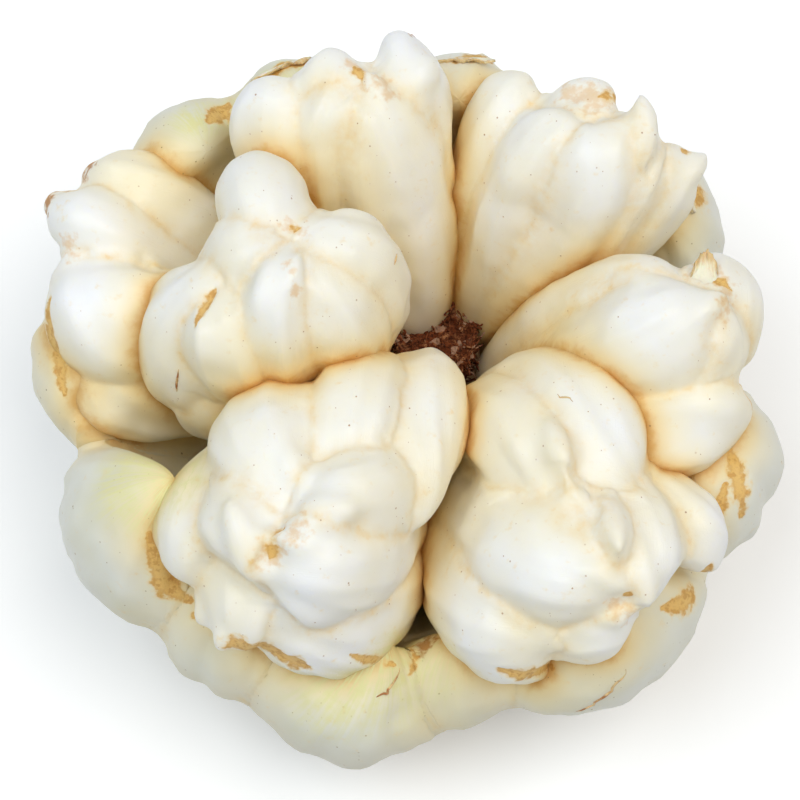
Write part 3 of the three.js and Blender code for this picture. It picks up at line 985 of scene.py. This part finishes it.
# each mark: its reach and depth in mm, and the scales that it crosses with its places on them
markFade = 1.6  # how far past its reach a mark fades out
marks = {
    "raw": [
        (1.4, 0.3, {
            "left_scale_1": [(0.84, -0.4), (0.75, -0.6)], "outer_scale_5": [(0.9, 0.55), (0.85, 0.9)],
        }),
        (0.8, 0.35, {"crown_scale_5": [(0.94, 1), (0.87, 0.45), (0.8, -0.1)]}),
        (0.6, 0.1, {"crown_scale_1": [(0.93, -0.95)], "crown_scale_2": [(0.97, -1)]}),
        (0.8, 0.2, {"back_scale_5": [(0.88, 0.99)], "back_scale_1": [(0.96, 0.74)]}),
        (0.8, 0, {"back_right_scale_4": [(0.92, 0.9), (0.99, 1)]}),
        (1.4, 0.2, {"outer_scale_2": [(0.91, 0.25), (0.8, -0.3)]}),
        (1.6, 0.2, {"back_right_scale_7": [(0.9, -0.9)], "outer_scale_1": [(0.88, -0.4), (0.95, 0)]}),
        (1.5, 0.2, {"outer_scale_3": [(0.9, 0.6), (0.88, -0.4)]}),
        (1.4, 0.2, {"outer_scale_4": [(0.95, -0.7), (0.86, -0.95)]}),
        (0.7, 0.2, {"right_scale_5": [(0.84, -0.8), (0.8, -0.6)]}),
        (0.9, 0.1, {"right_scale_3": [(0.75, 0.8)], "right_scale_4": [(0.94, -0.95)]}),
        (1.2, 0.3, {"outer_scale_11": [(0.94, -0.2), (0.88, -0.5), (0.79, -0.7)]}),
        (0.9, 0.3, {"outer_scale_11": [(0.9, -0.7), (0.84, -0.9)]}),
        (1.5, 0.3, {"front_right_scale_7": [(0.9, 1)], "outer_scale_10": [(0.81, 0.6), (0.87, 0.3)]}),
        (1.4, 0.3, {"front_right_scale_4": [(0.77, 0.1), (0.85, 0.4)], "outer_scale_10": [(0.83, -1)]}),
        (0.6, 0, {"front_right_scale_3": [(0.96, -0.3)], "front_right_scale_6": [(0.9, 0.7)]}),
        (1.5, 0, {"outer_scale_6": [(0.92, 0.7), (0.83, 0.97)], "outer_scale_7": [(0.92, -0.6)]}),
        (1.5, 0.2, {
            "outer_scale_7": [(0.9, -0.3)], "front_left_scale_8": [(0.92, -0.8)],
            "front_left_scale_9": [(0.85, -0.4), (0.77, -0.1)],
        }),
        (1.9, 0.5, {"front_left_scale_9": [(0.82, -0.35), (0.77, -0.1)]}),
        (1.0, 0.3, {"front_left_scale_5": [(0.88, 0.5), (0.93, 0)]}),
        (0.8, 0.2, {"front_left_scale_9": [(0.72, 0.4)], "outer_scale_8": [(0.96, 0.7)]}),
        (1.0, 0.2, {"outer_scale_8": [(0.93, 0.95)], "outer_scale_9": [(0.95, -1)]}),
    ],
    "brown": [
        (2.0, 0, {"left_scale_3": [(0.98, 0), (0.9, -0.2)]}),
        (2.0, 0, {"left_scale_2": [(0.98, 0), (0.9, -0.7)]}),
        (0.5, 0, {"back_scale_3": [(0.92, -0.9), (0.98, 0)]}),
        (1.3, 0.2, {"outer_scale_9": [(0.98, -1), (0.96, -0.9)]}),
    ],
    "rosy": [
        (3.5, 0, {"left_scale_3": [(0.95, 0)], "left_scale_2": [(0.95, 0)]}),
        (1.6, 0, {"left_scale_3": [(0.72, -0.75)], "left_scale_1": [(0.95, -1)]}),
        (0.9, 0.1, {"crown_scale_4": [(0.86, 0.5), (0.8, 0.6)]}),
        (1.2, 0, {"crown_scale_1": [(0.93, -0.95)], "crown_scale_2": [(0.97, -1)]}),
        (1.5, 0, {"back_scale_5": [(0.88, 0.99)], "back_scale_1": [(0.9, 0.74)]}),
        (2.4, 0, {"back_right_scale_4": [(0.8, 0.6), (0.9, 0.9), (0.99, 1)]}),
        (1.8, 0.1, {"right_scale_5": [(0.88, -0.98), (0.81, -0.67)], "right_scale_3": [(0.91, -0.6)]}),
        (1.4, 0, {"front_right_scale_3": [(0.96, 0.5)], "front_right_scale_9": [(0.94, -0.9)]}),
        (1.8, 0.2, {"front_left_scale_5": [(0.86, 0.6), (0.93, 0)]}),
        (0.9, 0.2, {"front_left_scale_7": [(0.97, 0)], "front_left_scale_8": [(0.75, 0.6)]}),
    ],
    "green": [
        (6.0, 0, {"outer_scale_6": [(0.99, 0.4), (0.95, -0.4)]}),
        (8.0, 0, {"outer_scale_8": [(0.87, -0.37), (0.95, 0.5)]}),
        (3.5, 0, {"outer_scale_3": [(0.9, 0.0)], "outer_scale_4": [(0.93, -0.3)]}),
    ],
}


def gapToPath(points, path, reachOut, tapered):
    # distance from a path as a share of its reach, which a tapered path narrows to both ends
    best = np.full(len(points), np.inf)
    for number, (start, end) in enumerate(zip(path[:-1], path[1:])):
        line = end - start
        share = np.clip((points - start) @ line / max(line @ line, 1e-9), 0, 1)
        gap = np.linalg.norm(points - start - share[:, None] * line, axis=1)
        through = (number + share) / (len(path) - 1)
        reach = reachOut * (0.35 + 0.75 * np.sin(math.pi * through)) if tapered else reachOut
        best = np.minimum(best, gap / reach)
    return best


def paint(obj, points, kind, painted, sunken):
    # one kind of mark on one surface
    low, high = boxOf(points)
    for reachOut, sink, spots in marks[kind]:
        path = [spotPlace(name, *place) for name, run in spots.items() for place in run]
        margin = reachOut * 2
        start, end = boxOf(np.array(path))
        if np.any(start - margin > high) or np.any(end + margin < low):
            continue
        share = np.clip(1 - gapToPath(points, path, reachOut, kind == "raw") / markFade, 0, 1)
        painted = np.maximum(painted, share)
        sunken = np.maximum(sunken, sink * np.clip(share * 2 - 0.6, 0, 1))
    storeShare(obj, kind, painted)
    return sunken


for obj in dict.fromkeys(surfaces.values()):
    points = pointsOf(obj.data)
    sunken = np.zeros(len(points))
    for kind in marks:
        sunken = paint(obj, points, kind, np.zeros(len(points)), sunken)
    movePoints(obj, points - normalsOf(obj.data) * sunken[:, None])
print("marks painted:", sum(len(rows) for rows in marks.values()))

# --- splits in the skin ---


def skinSplitTree():
    # a fine ridge along a run of points, thickest in its middle
    sheet, given = newTree("skinSplit", Geometry=["Base"], Float=["Thickness", "Seed"])
    line = sheet.node("GeometryNodeMeshToCurve", {}, given["Base"])
    line = sheet.node("GeometryNodeResampleCurve", {}, line, Count=28)
    share = sheet.node("GeometryNodeSplineParameter")
    wander = sheet.noise(sheet.place() / mm, 0.8, 2.0, given["Seed"], out=1)
    line = sheet.move(line, Offset=(wander - (0.5, 0.5, 0.5)) * (0.5 * mm))
    swelling = sheet.maths("SINE", share * math.pi) * given["Thickness"]
    ridge = sheet.tube(line, 8, 1.0, Scale=swelling + 0.03 * mm)
    return endTree(sheet, ridge, given["Material"])


driedLook = {
    "pale": tint(248, 238, 212),
    "tan": tint(222, 190, 138),
    "brown": tint(164, 108, 58),
}


def lipMaterial():
    # the browned lip of a split
    material, sheet, shader = principled(
        "browningLip", {"Subsurface Weight": 0.2, "Subsurface Scale": 0.5 * mm}
    )
    patch = sheet.noise(sheet.surfacePlace(), 0.7, 3.0)
    colour = sheet.coats(driedLook, "tan", ("brown", sheet.ramp(patch, 0.4, 0.6)))
    bump = sheet.bump(patch, 0.3, 0.1)
    feed(sheet, shader, Base_Color=colour, Roughness=0.4 + patch * 0.3, Normal=bump)
    return material


splitSteps = 12
# the scale each split crosses, its start and end there, and its thickness in mm
splits = [
    ("crown_scale_6", (0.7, 0.72), (0.6, 0.76), 0.14),
    ("outer_scale_8", (0.88, 0.16), (0.95, 0.79), 0.16),
    ("outer_scale_10", (0.67, -0.79), (0.8, -0.4), 0.16),
    ("crown_scale_2", (0.65, -0.25), (0.65, -0.05), 0.1),
    ("front_right_scale_1", (0.68, 0.5), (0.73, 0.42), 0.1),
    ("back_scale_3", (0.93, -0.8), (0.97, 0.2), 0.12),
]
lip = lipMaterial()
splitTree = skinSplitTree()
lips = []
for number, (name, (startAlong, startAcross), (endAlong, endAcross), thickness) in enumerate(splits):
    run = []
    for step in range(splitSteps + 1):
        share = step / splitSteps
        along = startAlong + (endAlong - startAlong) * share
        across = startAcross + (endAcross - startAcross) * share
        run.append(Vector(spotPlace(name, along, across)) * mm)
    base = bpy.data.meshes.new(f"split_{number}_line")
    base.from_pydata(run, [(i, i + 1) for i in range(splitSteps)], [])
    values = {"Thickness": thickness * mm, "Seed": number * 1.7, "Material": lip}
    lips.append(grow(f"skin_split_{number}", splitTree, values, base))
print("splits drawn:", len(lips))

# --- torn and dried scraps ---


def paperyScrapTree():
    # a thin curling sheet with a jagged free edge, closed all round
    sheet, given = newTree(
        "paperyScrap",
        Vector=["Foot", "Forward", "Facing"],
        Float=["Length", "Width", "Taper", "Curl", "Cup", "Spikes", "Ragged", "Thickness", "Seed"],
    )
    x, y, _ = sheet.split(sheet.place())
    reach = y + 0.5
    marked = sheet.store(sheet.node("GeometryNodeMeshGrid", {}, 1.0, 1.0, 34, 22), reach=reach, span=x)
    # teeth along the free edge: a zigzag of uneven height
    shift = sheet.noise(None, 1.0, 1.0, x * 3 + given["Seed"])
    zigzag = sheet.maths("PINGPONG", x * given["Spikes"] + shift * 2.2, 0.5) * 2
    coarse = sheet.noise(None, 1.0, 3.0, x * given["Spikes"] * 0.8 + given["Seed"] * 2 + 5)
    tooth = 1 - given["Ragged"] * (0.15 + zigzag * 0.75 * coarse + (1 - coarse) * 0.5)
    rounded = sheet.maths("SQRT", (1 - x * x * 3.6).atLeast(0.02))
    long = given["Length"] * tooth * rounded
    bend = given["Curl"].atLeast(0.05)
    forward = sheet.maths("SINE", bend * reach) / bend * long
    rise = (1 - sheet.maths("COSINE", bend * reach)) / bend * long
    side = sheet.vectors("CROSS_PRODUCT", given["Forward"], given["Facing"])
    spread = x * given["Width"] * (1 - reach * given["Taper"])
    cup = given["Cup"] * x * x * 4
    crumple = sheet.noise(sheet.vector(x * 4, reach * 3), 1.0, 2.0, given["Seed"])
    lifted = rise + cup + (crumple - 0.5) * given["Width"] * 0.22 * (0.2 + reach)
    place = given["Foot"] + given["Forward"] * forward + given["Facing"] * lifted + side * spread
    shaped = sheet.move(marked, Position=place)
    under = sheet.node("GeometryNodeFlipFaces", {}, shaped)
    thick, faces = given["Thickness"], {"mode": "FACES"}
    over = sheet.node("GeometryNodeExtrudeMesh", faces, shaped, Offset_Scale=thick, Individual=False)
    both = sheet.together(under, over)
    closed = sheet.node("GeometryNodeMergeByDistance", {}, both, Distance=0.002 * mm)
    return endTree(sheet, closed, given["Material"])


def driedMaterial():
    material, sheet, shader = principled(
        "driedTissue",
        {
            "Subsurface Weight": 0.3,
            "Subsurface Radius": (1.0, 0.55, 0.25),
            "Subsurface Scale": 0.8 * mm,
            "Specular IOR Level": 0.35,
        },
    )
    place, reach = sheet.surfacePlace(), sheet.attribute("reach")
    broad, fine = sheet.noise(place, 0.5, 3.0), sheet.noise(place, 3.5, 3.0)
    streaks = sheet.noise(sheet.vector(sheet.attribute("span") * 26, reach * 2), 1.0)
    dryness = reach * 0.7 + (broad - 0.5) * 0.9 + (streaks - 0.5) * 0.5
    dead = sheet.ramp(dryness + (fine - 0.5) * 0.4, 0.7, 1.1)
    colour = sheet.coats(driedLook, "pale", ("tan", sheet.ramp(dryness, 0.25, 0.7)), ("brown", dead))
    bump = sheet.bump(streaks * 0.6 + fine * 0.4, 0.5, 0.15)
    feed(sheet, shader, Base_Color=colour, Roughness=(0.5 + fine * 0.3).clamp(), Normal=bump)
    return material


driedTissue = driedMaterial()
scrapTree = paperyScrapTree()
scrapPlain = {"taper": 0.3, "curl": 0.5, "cup": -0.5, "spikes": 4, "ragged": 0.5, "thickness": 0.22}
scrapFoot = {"depth": 0.25, "length": 1.0}  # how far it is set in, in mm

# each scrap: the spot it grows from, length and width in mm and lean away in degrees
rim = {"length": 1.6, "spikes": 6, "lean": 4, "taper": 0}
scraps = {
    "right_torn_tip": [
        dict(spot=("right_scale_5", 0.84, -0.9), length=5.0, width=5, spikes=2, lean=5, curl=0.8, ragged=0.3),
    ],
    "outer_torn_rims": [
        dict(spot=("outer_scale_1", 0.93, -0.2), width=8, **rim),
        dict(spot=("outer_scale_2", 0.9, 0.2), width=9, **rim),
        dict(spot=("outer_scale_3", 0.9, 0.2), width=9, **rim),
    ],
}


def joined(name, objects):
    # several plain meshes as one piece
    with bpy.context.temp_override(
        active_object=objects[0], selected_editable_objects=objects, selected_objects=objects
    ):
        bpy.ops.object.join()
    objects[0].name = name
    objects[0].data.name = name
    return objects[0]


skinSplits = joined("skin_splits", lips)
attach(skinSplits, "root")
for piece, entries in scraps.items():
    made = []
    for number, entry in enumerate(entries):
        entry = {**scrapPlain, **entry}
        place, normal, forward = spotFrame(entry["spot"])
        lean = Quaternion(forward.cross(normal), math.radians(entry["lean"]))
        forward, facing = lean @ forward, lean @ normal
        values = {
            "Foot": (place - forward * scrapFoot["length"] - facing * scrapFoot["depth"]) * mm,
            "Forward": forward,
            "Facing": facing,
            "Length": (entry["length"] + scrapFoot["length"]) * mm,
            **inputs(entry, "Width", "Cup", "Thickness"),
            **inputs(entry, "Taper", "Curl", "Spikes", "Ragged", unit=1.0),
            "Seed": number * 2.3 + len(piece),
            "Material": driedTissue,
        }
        made.append(grow(f"{piece}_{number}", scrapTree, values))
    scrap = joined(piece, made)
    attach(scrap, "root")
print("scraps torn:", sum(len(entries) for entries in scraps.values()))

# the single forms that a bulblet's skin now stands for
for name, obj in scales.items():
    if obj is not surfaces[name]:
        bpy.data.objects.remove(obj)

# --- stem scar and basal plate ---

scarShape = {
    "middle": (4.8, 12.8),
    "foot": 8.5,
    "neck": 4.6,
    "radius": 6.2,
    "top": 22,
    "pit": 1.6,
    "rough": 1.5,
    "fibres": 420,
    "crumbs": 260,
    "seed": 7,
}
scarLook = {
    "dark": tint(82, 42, 26),
    "rust": tint(146, 80, 46),
    "tan": tint(196, 140, 98),
    "pink": tint(216, 176, 150),
}


def corkMaterial():
    material, sheet, shader = principled("scarCork", {"Specular IOR Level": 0.2})
    place = sheet.surfacePlace()
    broad, fine = sheet.noise(place, 0.6, 3.0), sheet.noise(place, 2.6, 4.0, Roughness=0.65)
    chips, pick = sheet.chips(place, 1.3)
    colour = sheet.coats(
        scarLook,
        "dark",
        ("rust", sheet.ramp(fine, 0.35, 0.6)),
        ("tan", sheet.ramp(broad * 0.5 + fine * 0.5, 0.52, 0.64)),
        ("pink", sheet.ramp(pick[0], 0.82, 0.9) * 0.8),
    )
    bump = sheet.bump(fine + chips * 0.5, 0.8, 0.4)
    feed(sheet, shader, Base_Color=colour, Roughness=(0.75 + fine * 0.3).clamp(), Normal=bump)
    return material


def scarTree():
    # a crumbling core with a sunken top, set with broken fibres and crumbs
    sheet, given = newTree(
        "corkyScar",
        Vector=["Middle"],
        Float=["Radius", "Neck", "Foot", "Top", "Pit", "Rough", "Fibres", "Crumbs"],
        Int=["Seed"],
    )
    x, y, z = sheet.split(sheet.place())
    spread = sheet.maths("SQRT", x * x + y * y)
    height = sheet.ramp(z, -0.85, 0.85)
    wide = spread**0.35 * (given["Neck"] + (given["Radius"] - given["Neck"]) * height)
    turnX, turnY = x / spread.atLeast(1e-4), y / spread.atLeast(1e-4)
    level = given["Foot"] + (given["Top"] - given["Foot"]) * height
    level = level - given["Pit"] * sheet.ramp(z, 0.8, 1)
    flat = sheet.vector(turnX * wide, turnY * wide, level)
    core = sheet.move(sheet.ball(96, 72), Position=flat + given["Middle"])
    here, normal = sheet.place() / mm, sheet.normal()
    broken = sheet.noise(here, 0.9, 4.0, Roughness=0.7)
    core = sheet.move(core, Offset=normal * ((broken - 0.62) * 2 * given["Rough"]))

    def strewn(density, seed, instance, small, large):
        points = sheet.node(
            "GeometryNodeDistributePointsOnFaces", {}, core, Density=density, Seed=given["Seed"] + seed
        )
        turned = sheet.random((-3.1, -3.1, -3.1), (3.1, 3.1, 3.1), seed)
        return sheet.strew(points, instance, turned, sheet.random(small, large, seed + 9))

    bends = [(0, 0, -0.2), (0.5, 0, 0.4), (0.1, 0.4, 1.0), (0.9, 0.2, 1.5)]  # of a fibre, in mm
    thread = sheet.node(
        "GeometryNodeCurvePrimitiveBezierSegment", {}, 6, *(tuple(c * mm for c in bend) for bend in bends)
    )
    fibre = sheet.tube(thread, 4, 0.11 * mm)
    crumb = sheet.node("GeometryNodeMeshIcoSphere", {}, Radius=0.5 * mm, Subdivisions=1)
    crumb = sheet.move(crumb, Offset=normal * ((sheet.noise(here, 2.2, 1.0) - 0.5) * 0.5 * mm))
    whole = sheet.together(
        core,
        strewn(given["Fibres"], 1, fibre, 0.6, 1.6),
        strewn(given["Crumbs"], 2, crumb, 0.4, 1.5),
    )
    return endTree(sheet, whole, given["Material"], smooth=False)


scarArea = 2 * math.pi * (scarShape["radius"] * mm) * (scarShape["top"] - scarShape["foot"]) * mm
scar = grow(
    "stem_scar_cork",
    scarTree(),
    {
        **inputs(scarShape, "Radius", "Neck", "Foot", "Top", "Pit", "Rough"),
        **inputs(scarShape, "Fibres", "Crumbs", unit=1 / scarArea),
        "Middle": inFrame((*scarShape["middle"], 0)),
        "Seed": scarShape["seed"],
        "Material": corkMaterial(),
    },
)
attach(scar, "root")
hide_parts("stem_scar")
print("scar grown")

plateShape = {
    "flat": 13,
    "radius": 17,
    "edge": 3.5,
    "height": 9.2,
    "rough": 0.7,
    "stubs": 46,
    "stubLength": 2.4,
    "stubRadius": 0.7,
    "seed": 3,
}
plateLook = {"tan": tint(176, 138, 96), "brown": tint(118, 80, 50), "pale": tint(214, 186, 146)}


def plateMaterial():
    material, sheet, shader = principled("rootPlateSkin", {"Specular IOR Level": 0.25})
    place = sheet.surfacePlace()
    broad, fine = sheet.noise(place, 0.35, 4.0), sheet.noise(place, 2.4, 4.0, Roughness=0.6)
    tan, pale = sheet.ramp(broad, 0.35, 0.65), sheet.ramp(fine, 0.5, 0.72)
    colour = sheet.coats(plateLook, "brown", ("tan", tan), ("pale", pale))
    bump = sheet.bump(fine + broad, 0.7, 0.4)
    feed(sheet, shader, Base_Color=colour, Roughness=(0.7 + fine * 0.3).clamp(), Normal=bump)
    return material


def plateTree():
    # a flat-footed disc with the stubs of trimmed roots round its edge
    sheet, given = newTree(
        "rootedPlate",
        Vector=["Middle"],
        Float=["Flat", "Radius", "Edge", "Height", "Rough", "Stub Length", "Stub Radius"],
        Int=["Stubs", "Seed"],
    )
    flat, radius, edge, height = (given[label] for label in ("Flat", "Radius", "Edge", "Height"))
    x, y, z = sheet.split(sheet.place())
    spread = sheet.maths("SQRT", x * x + y * y).atLeast(1e-4)
    steep = sheet.maths("ARCCOSINE", z) / math.pi
    under = sheet.ramp(steep, 0.5, 0.72)
    top = sheet.ramp(steep, 0.22, 0.5)
    inside = sheet.ramp(steep, 0.72, 1)
    wide = radius * top + (flat - radius) * under - flat * inside
    level = height + (edge - height) * top - edge * under
    rounded = sheet.vector(x / spread * wide, y / spread * wide, level)
    disc = sheet.move(sheet.ball(128, 64), Position=rounded + given["Middle"])
    here, normal = sheet.place(), sheet.normal()
    uneven = sheet.noise(here / mm, 0.5, 3.0)
    clear = sheet.ramp(sheet.split(here)[2], 0.0, 1.5 * mm)
    disc = sheet.move(disc, Offset=normal * ((uneven - 0.6) * given["Rough"] * clear))

    # stubs, drawn-out balls that lean outwards
    ring = sheet.node("GeometryNodeMeshCircle", {}, Vertices=given["Stubs"], Radius=(flat + radius) * 0.5)
    jitter = sheet.random((-1, -1, -0.6), (1, 1, 1), given["Seed"])
    raised = sheet.vector(0.0, 0.0, edge * 0.75)
    ring = sheet.move(ring, Position=here + given["Middle"] + raised + jitter * (0.9 * mm))
    thick, long = given["Stub Radius"], given["Stub Length"] * 0.5
    stub = sheet.move(sheet.ball(12, 9), Position=sheet.vector(x * thick, y * thick, z * long))
    knobbly = sheet.noise(here / mm, 0.9)
    stub = sheet.move(stub, Offset=normal * ((knobbly - 0.5) * 0.5 * mm))
    outX, outY, _ = sheet.split(here - given["Middle"])
    wayOut = sheet.vector(outX, outY) + jitter * (7 * mm)
    turned = sheet.node("FunctionNodeAlignRotationToVector", {"axis": "Z"}, Vector=wayOut)
    stubs = sheet.strew(ring, stub, turned, sheet.random(0.6, 1.25, given["Seed"]))
    return endTree(sheet, sheet.together(disc, stubs), given["Material"])


plateSkin = grow(
    "basal_plate_skin",
    plateTree(),
    {
        **inputs(plateShape, "Flat", "Radius", "Edge", "Height", "Rough", "Stub Length", "Stub Radius"),
        **inputs(plateShape, "Stubs", "Seed", unit=1),
        "Middle": inFrame(plateMiddle),
        "Material": plateMaterial(),
    },
)
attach(plateSkin, "root")
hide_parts("basal_plate")
print("plate grown")

# --- stage, camera and light ---

stage = {
    "cameraHeight": 68,  # degrees above the floor
    "cameraDistance": 400,
    "lens": 139.3,
    "aim": (0, 0, 30),
    "key": {"from": (0.4, -0.12, 1.0), "strength": 1.22, "softness": 40, "colour": (1.0, 0.96, 0.9)},
    "cool": {"from": (-0.5, -0.12, 1.0), "strength": 1.15, "softness": 40, "colour": (0.82, 0.92, 1.0)},
    "sky": {"colour": (0.97, 0.985, 1.0), "strength": 0.36},
    "floor": {"half": 2, "colour": (0.5, 0.5, 0.49), "seen": (0.96,) * 3, "glow": (0.16,) * 3},
}


def sun(name, look):
    light = bpy.data.lights.new(name, "SUN")
    light.energy = look["strength"]
    light.angle = math.radians(look["softness"])
    light.color = look["colour"]
    holder = bpy.data.objects.new(name, light)
    holder.rotation_euler = (-Vector(look["from"])).to_track_quat("-Z", "Y").to_euler()
    bpy.context.scene.collection.objects.link(holder)


def seenShare(sheet):
    # 1 for what the camera sees, also in a gloss or through glass, and 0 for what only lights
    rays = sheet.node("ShaderNodeLightPath")
    seen = rays
    for label in ("Is Glossy Ray", "Is Transmission Ray"):
        seen = sheet.maths("MAXIMUM", seen, Wire(sheet, rays.socket.node.outputs[label]))
    return seen


sun("warmKey", stage["key"])
sun("coolFill", stage["cool"])

camera = bpy.data.objects.new("camera", bpy.data.cameras.new("camera"))
camera.data.lens = stage["lens"]
camera.data.clip_start = 0.01
tilt = math.radians(stage["cameraHeight"])
aim = inFrame(stage["aim"])
camera.location = aim + Vector((0, -math.cos(tilt), math.sin(tilt))) * stage["cameraDistance"] * mm
camera.rotation_euler = Euler((math.pi / 2 - tilt, 0, 0))
bpy.context.scene.collection.objects.link(camera)
bpy.context.scene.camera = camera

world = bpy.data.worlds.new("softSky")
world.use_nodes = True
bpy.context.scene.world = world
sheet = Sheet(world.node_tree)
seen, sky = seenShare(sheet), stage["sky"]
strength = seen * (1 - sky["strength"]) + sky["strength"]
background = world.node_tree.nodes["Background"]
feed(sheet, background, Color=sheet.blend(seen, sky["colour"], (1, 1, 1)), Strength=strength)

floorLook = stage["floor"]
corners = [(x * floorLook["half"], y * floorLook["half"], 0) for x, y in ((-1, -1), (1, -1), (1, 1), (-1, 1))]
floorMesh = bpy.data.meshes.new("floor")
floorMesh.from_pydata(corners, [], [(0, 1, 2, 3)])
floor = bpy.data.objects.new("floor", floorMesh)
bpy.context.scene.collection.objects.link(floor)
floorPaint, sheet, shader = principled("whiteFloor", {"Roughness": 0.9, "Emission Strength": 1.0})
seen = seenShare(sheet)
colour, glow = sheet.blend(seen, floorLook["colour"], floorLook["seen"]), floorLook["glow"]
feed(sheet, shader, Base_Color=colour, Emission_Color=sheet.blend(seen, (0, 0, 0), glow))
floorMesh.materials.append(floorPaint)
print("stage set")

bpy.context.scene.view_settings.view_transform = "Standard"
